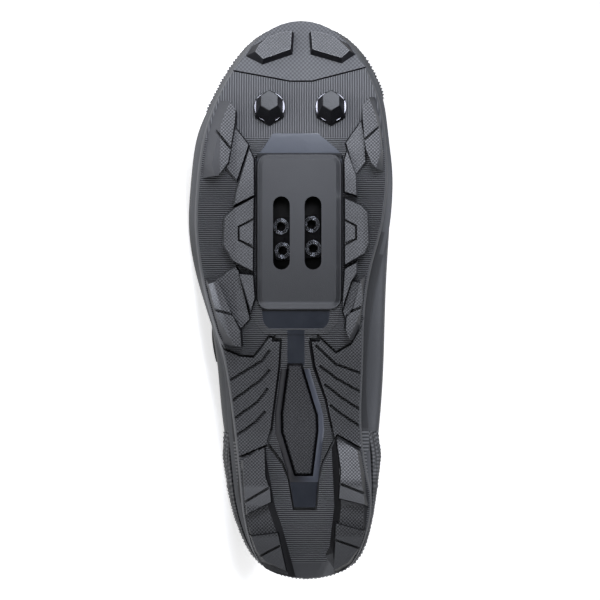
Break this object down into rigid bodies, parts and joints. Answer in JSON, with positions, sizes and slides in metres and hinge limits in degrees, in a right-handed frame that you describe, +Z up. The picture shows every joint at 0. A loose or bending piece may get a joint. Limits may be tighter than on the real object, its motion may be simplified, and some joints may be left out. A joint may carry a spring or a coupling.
{
  "type": "cycling shoe",
  "caption": "Right off-road cycling shoe with a lugged sole, a two-slot cleat area, toe studs and three straps, lying on its lateral side",
  "frame": {"origin": "middle of the floor rectangle under the shoe as it lies on its side, with Z = 0 the floor", "axes": "-X towards the toe, -Y out of the sole, +Z up, which is the medial side of the shoe"},
  "size_m": [0.2554, 0.1082, 0.0957],
  "materials": {
    "midsole": "matt moulded, fine grain",
    "upper": "matt synthetic leather",
    "tongue": "padded mesh",
    "insole": "brushed cloth",
    "rand": "ridged, matt",
    "counter": "knurled, matt",
    "tread": "moulded, matt with satin lug tops",
    "shank": "polished",
    "badge": "matt",
    "cover": "fine spark grain",
    "steel": "bright zinc plate",
    "strap": "matt synthetic leather",
    "stud": "satin"
  },
  "bodies": {
    "root": {"sole": "midsole", "upper": "upper", "tongue": "tongue", "insole": "insole", "toe_rand": "rand", "heel_counter": "counter", "toe_tread": "tread", "forefoot_tread": "tread", "arch_tread_lateral": "tread", "arch_tread_medial": "tread", "heel_tread": "tread", "shank_plate": "shank", "arch_badge": "badge", "cleat_plate": "cover", "nut_plate": "steel", "strap_1": "strap", "strap_2": "strap", "strap_3": "strap", "toe_stud_lateral": "stud", "toe_stud_medial": "stud"}
  },
  "joints": []
}
